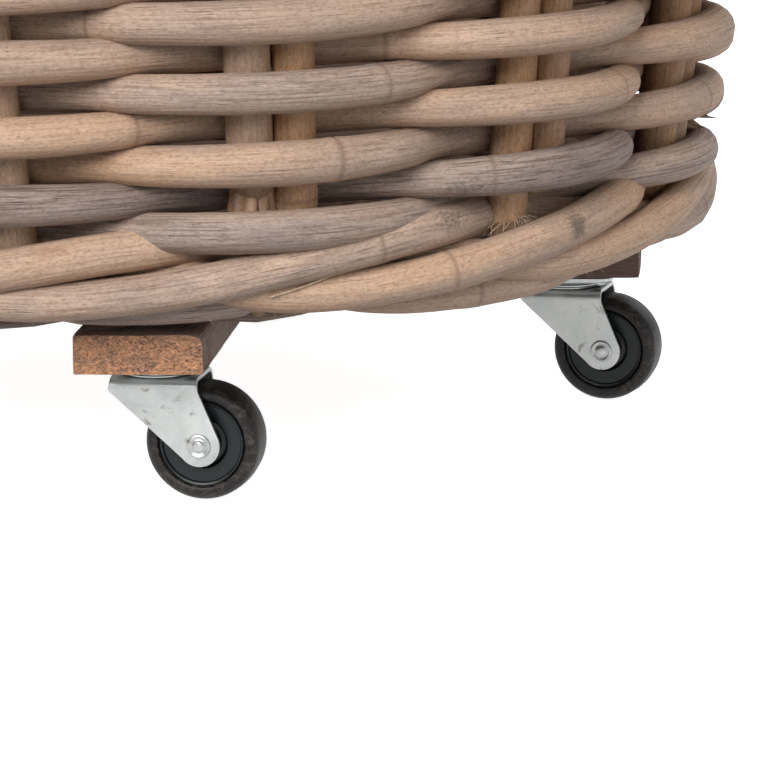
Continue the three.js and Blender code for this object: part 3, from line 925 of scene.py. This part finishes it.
def make_batten(name, along_y, end, material, slot, seed, rounds):
    """Rough-sawn batten, swept along its length, with half its thickness cut away at the lap."""
    low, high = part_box(name)
    thick = high[2] - low[2]
    outline = batten_outline(thick, rounds)
    stations = list(np.arange(BATTEN_START, end - 0.002, 0.008)) + [end]
    stations = [s for s in stations if abs(abs(s) - LAP) > 0.002]
    stations = sorted(stations + [-LAP - 0.0002, -LAP, LAP, LAP + 0.0002])
    vertices = []
    count = len(outline)
    for number, s in enumerate(stations):
        for k, (u, v) in enumerate(outline):
            rough = 0.0005 * wander(seed + (k // 3) * 0.7, s, 0.03) * min(1, abs(u) / 0.02 + 0.2)
            v_rough = v - 0.0003 * (1 + wander(seed + 9 + k * 0.1, s, 0.02)) * (v > thick * 0.5)
            if abs(s) <= LAP:
                v_rough = min(v_rough, thick / 2 - 0.0002) if along_y else max(v_rough, thick / 2 + 0.0002)
            side, tip = u + copysign(rough, u) - 0.0003 * copysign(1, u), s
            if number in (0, len(stations) - 1):
                tip += 0.0006 * wander(seed + 20, u * 3 + v * 7, 0.02) - copysign(0.0006, s)
                side, v_rough = side * 0.992, 0.00015 + v_rough * 0.985
            spot = (-side, tip, v_rough + low[2]) if along_y else (tip, side, v_rough + low[2])
            vertices.append(spot)
    faces = grid_faces(len(stations), count)
    faces.append(tuple(range(count))[::-1])
    faces.append(tuple(range((len(stations) - 1) * count, len(stations) * count)))
    item = new_object(name + "_wood", vertices, faces, [material])
    fix_normals(item, BATTEN_SHARP_ANGLE)
    item.location = CROSS
    item.rotation_euler[2] = CROSS_TURN
    settle(item, "basket", slot, name)


def make_battens():
    make_batten("batten_front_to_back", True, BATTEN_BACK_END, REDDISH, "batten_reddish", 5.0,
                (0.0015, 0.0008, 0.0052, 0.0012))
    make_batten("batten_side_to_side", False, BATTEN_RIGHT_END, DARK, "batten_dark", 8.0,
                (0.0008, 0.0008, 0.001, 0.001))


# -------- castors

def lathe(profile, segments, centre, direction, close=True):
    """Turns (radius, along) points about an axis through `centre`."""
    axis = Vector(direction).normalized()
    side = axis.orthogonal().normalized()
    other = axis.cross(side)
    vertices = []
    for radius, along in profile:
        for k in range(segments):
            angle = 2 * pi * k / segments
            spoke = side * cos(angle) + other * sin(angle)
            vertices.append(Vector(centre) + axis * along + spoke * radius)
    return vertices, grid_faces(len(profile), segments, wrap_rows=close)


def fix_normals(item, sharp=None):
    """Turns the faces outward and, if asked, keeps edges sharper than an angle in degrees."""
    mesh = bmesh.new()
    mesh.from_mesh(item.data)
    bmesh.ops.remove_doubles(mesh, verts=mesh.verts, dist=1e-7)
    bmesh.ops.recalc_face_normals(mesh, faces=mesh.faces)
    mesh.to_mesh(item.data)
    mesh.free()
    if sharp:
        item.data.set_sharp_from_angle(angle=radians(sharp))


def turned_piece(castor, label, node, body, slot, parts, *materials):
    """parts: lathe results with a material index each, joined into one mesh."""
    vertices, faces, indices = [], [], []
    for (points, polygons), material in parts:
        base = len(vertices)
        vertices += points
        faces += [tuple(base + i for i in polygon) for polygon in polygons]
        indices += [material] * len(polygons)
    item = new_object(f"castor_{castor}_{label}", vertices, faces, materials)
    item.data.polygons.foreach_set("material_index", indices)
    fix_normals(item, SHARP_ANGLE)
    settle(item, body, slot, *([f"castor_{castor}_{node}"] if node else []))


def rounded(corners, radius, steps=4):
    """Rounds the corners of a closed outline of (u, v) points."""
    result = []
    total = len(corners)
    for i in range(total):
        before, here, after = (np.array(corners[(i + k) % total][:2], float) for k in (-1, 0, 1))
        size = corners[i][2] if len(corners[i]) > 2 else radius
        into, out = before - here, after - here
        size = min(size, 0.45 * min(np.linalg.norm(into), np.linalg.norm(out)))
        a, b = here + into / np.linalg.norm(into) * size, here + out / np.linalg.norm(out) * size
        for k in range(steps + 1):
            t = k / steps
            result.append(tuple((1 - t) ** 2 * a + 2 * t * (1 - t) * here + t * t * b))
    return result


SHARP_ANGLE = 35
WHEEL_R = 0.0264
TYRE_HALF = 0.0115
HUB_R = 0.0194
FORK_TOP = 0.057
FORK_HALF = 0.016




def mirrored(profile):
    return profile + [(r, -along) for r, along in profile[::-1]]


def make_wheel(name, centre, axle):
    body = f"castor_{name}_wheel"
    curve = 0.0046
    left = [(HUB_R + 0.0002, -TYRE_HALF + 0.0016), (HUB_R + 0.0009, -TYRE_HALF + 0.0004),
            (HUB_R + 0.0018, -TYRE_HALF)]
    for k in range(9):
        turn = radians(-90 + 82 * k / 8)
        left.append((WHEEL_R - 0.0004 - curve + curve * cos(turn),
                     -TYRE_HALF + curve + curve * sin(turn)))
    left += [(WHEEL_R - 0.0002, -0.0040), (WHEEL_R, -0.0012)]
    turned_piece(name, "tyre_rubber", "tyre", body, "tyre_rubber",
                 [(lathe(mirrored(left), 96, centre, axle), 0)], TYRE)

    face = [(0.0044, 0.0104), (0.0078, 0.0104), (0.0083, 0.0099), (0.0086, 0.0072), (0.0104, 0.0066),
            (0.0112, 0.0084), (0.0118, 0.0089), (HUB_R - 0.0018, 0.0093), (HUB_R - 0.0013, 0.0104),
            (HUB_R - 0.0004, 0.0107), (HUB_R, 0.0100)]
    turned_piece(name, "hub_plastic", "hub", body, "hub_plastic",
                 [(lathe(mirrored(face), 72, centre, axle), 0)], HUB)


def make_axle(name, centre, axle):
    head = FORK_HALF
    dome = [(0.0012, 0.00165), (0.0021, 0.0015), (0.0026, 0.0011), (0.0028, 0.0006), (0.0034, 0.0004),
            (0.0047, 0.0009), (0.0052, 0.0007), (0.0055, 0.0002), (0.0055, -0.0002)]
    outer = [(r, -head - a) for r, a in dome] + [(0.0040, -head + 0.0002)]
    profile = mirrored([(0.00005, -head - 0.0017)] + outer)
    turned_piece(name, "axle_rivet", "axle", f"castor_{name}_swivel", "zinc_steel",
                 [(lathe(profile, 40, centre, axle), 0)], ZINC)


def make_fork(name, pivot, centre, forward, side):
    """Pressed from one sheet: crown, rounded bends, and two legs narrowing to the axle boss."""
    trail = (Vector((centre.x, centre.y, 0)) - pivot).length
    top, sheet, wide, half = FORK_TOP, 0.0019, FORK_HALF, 0.0205
    bend = 0.0044
    levels = 34

    boss, axle_z = 0.0095, centre.z
    meets = radians(218), radians(16)

    def edges(z):
        """Back and front edge of the leg at a height, along `forward` from the pivot: straight
        sides that run into a round boss about the axle."""
        reach = []
        for angle, corner in zip(meets, (-half, half)):
            joint = trail + boss * cos(angle), axle_z + boss * sin(angle)
            if z < joint[1]:
                spread = sqrt(max(boss ** 2 - (z - axle_z) ** 2, 0))
                reach.append(trail + copysign(spread, corner))
            else:
                share = min((z - joint[1]) / (top - 0.006 - joint[1]), 1)
                reach.append(joint[0] + (corner - joint[0]) * share)
        return reach

    low = axle_z - boss + 0.00005
    leg = [low + (top - bend - low) * (k / levels) ** 1.35 for k in range(levels + 1)]
    section = [(wide - sheet / 2, z) for z in leg]
    for k in range(1, 7):
        turn = pi / 2 * k / 6
        section.append((wide - sheet / 2 - bend + bend * cos(turn),
                        top - bend - sheet / 2 + bend * sin(turn) + sheet / 2 * (1 - k / 6)))
    full = section + [(0.0065, top - sheet / 2)]
    profile = full + [(-y, z) for y, z in full[::-1]]
    across = 16
    vertices = []
    for y, z in profile:
        rear, front = edges(min(z, top - bend))
        lift = max(z - (top - bend - 0.001), 0) / (bend + 0.001)
        front -= 0.0006 * lift
        rear += 0.0012 * lift
        for k in range(across + 1):
            t = k / across
            s = rear + (front - rear) * t
            vertices.append(pivot + forward * s + side * y + Vector((0, 0, z)))
    faces = grid_faces(len(profile), across + 1, wrap=False)
    item = new_object(f"castor_{name}_fork_steel", vertices, faces, [ZINC])
    fix_normals(item)
    solid = item.modifiers.new("sheet", "SOLIDIFY")
    solid.thickness = sheet
    solid.offset = 0
    edge = item.modifiers.new("edge", "BEVEL")
    edge.width = 0.0004
    edge.segments = 2
    edge.limit_method = "ANGLE"
    edge.angle_limit = radians(50)
    settle(item, f"castor_{name}_swivel", "zinc_steel", f"castor_{name}_fork")


def make_race(name, pivot):
    up = (0, 0, 1)
    cup = [(0.0070, 0.0609), (0.0070, 0.0596), (0.0120, 0.0595), (0.0150, 0.0588), (0.0168, 0.0583),
           (0.0174, 0.0585), (0.0174, 0.0590), (0.0160, 0.0597), (0.0152, 0.0609)]
    lower = [(0.0070, 0.0571), (0.0160, 0.0571), (0.0178, 0.0576), (0.0181, 0.0581), (0.0178, 0.0583),
             (0.0160, 0.0578), (0.0120, 0.0582), (0.0070, 0.0583)]
    parts = [(lathe(cup, 64, pivot, up), 0), (lathe(lower, 64, pivot, up), 0)]
    balls = 14
    for k in range(balls):
        turn = 2 * pi * k / balls
        spot = pivot + Vector((0.0138 * cos(turn), 0.0138 * sin(turn), 0.0))
        ball = [(0.0013 * sin(pi * (n + 0.02) / 8.04), 0.0588 - 0.0013 * cos(pi * n / 8))
                for n in range(9)]
        parts.append((lathe(ball, 10, spot, up, close=False), 1))
    turned_piece(name, "race_steel", "ball_race", "basket", "zinc_steel", parts, ZINC, GREASED)
    pin = [(0.00005, 0.0517), (0.0040, 0.0519), (0.0060, 0.0526), (0.0065, 0.0536), (0.0065, 0.0544),
           (0.0041, 0.0546), (0.0041, 0.0609), (0.00005, 0.0609)]
    turned_piece(name, "kingpin_steel", "kingpin", "basket", "zinc_steel",
                 [(lathe(pin, 32, pivot, up), 0)], ZINC)


def make_plate(name):
    """Top plate with rounded corners, turned to lie along its batten, and four pan-head screws."""
    low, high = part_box(f"castor_{name}_plate")
    centre = middle(f"castor_{name}_plate")
    half = 0.023
    cosine, sine = cos(CROSS_TURN), sin(CROSS_TURN)
    turn = np.array([[cosine, -sine], [sine, cosine]])
    outline = [tuple(turn @ corner) for corner in rounded(
        [(half, half), (-half, half), (-half, -half), (half, -half)], 0.007, 6)]
    rings = ((0.0, high[2]), (0.9, high[2]), (0.985, high[2] - 0.0001), (1.0, high[2] - 0.0005),
             (1.0, low[2] + 0.0008), (0.975, low[2] + 0.0001), (0.62, low[2]), (0.57, low[2] - 0.0003),
             (0.0, low[2] - 0.0003))
    vertices = [(centre.x + u * scale, centre.y + v * scale, z) for scale, z in rings for u, v in outline]
    faces = grid_faces(len(rings), len(outline))
    plate = new_object(f"castor_{name}_plate_steel", vertices, faces, [ZINC])
    fix_normals(plate, SHARP_ANGLE)
    settle(plate, "basket", "zinc_steel", f"castor_{name}_plate")
    reach = half - 0.0058
    head = [(0.00005, -0.0021), (0.0014, -0.0020), (0.0026, -0.0016), (0.0036, -0.0008), (0.0039, 0.0002),
            (0.0039, 0.0006), (0.0018, 0.0006), (0.0017, 0.0140), (0.00005, 0.0150)]
    for number, corner in enumerate(((1, 1), (-1, 1), (-1, -1), (1, -1))):
        u, v = turn @ (np.array(corner) * reach)
        spot = (centre.x + u, centre.y + v, low[2])
        turned_piece(name, f"screw_{number + 1}", None, "basket", "zinc_steel",
                     [(lathe(head, 24, spot, (0, 0, 1)), 0)], ZINC)


def make_castors():
    for name in CASTORS:
        pivot = middle(f"castor_{name}_kingpin")
        pivot.z = 0
        centre = middle(f"castor_{name}_axle")
        forward = Vector((centre.x - pivot.x, centre.y - pivot.y, 0)).normalized()
        axle = Vector((-forward.y, forward.x, 0))
        make_wheel(name, centre, axle)
        make_axle(name, centre, axle)
        make_fork(name, pivot, centre, forward, axle)
        make_race(name, pivot)
        make_plate(name)


make_stakes()
make_weave()
make_border()
make_foot()
make_torn_ends()
make_loose_fibres()
make_base()
make_rim()
make_handles()
make_battens()
make_castors()
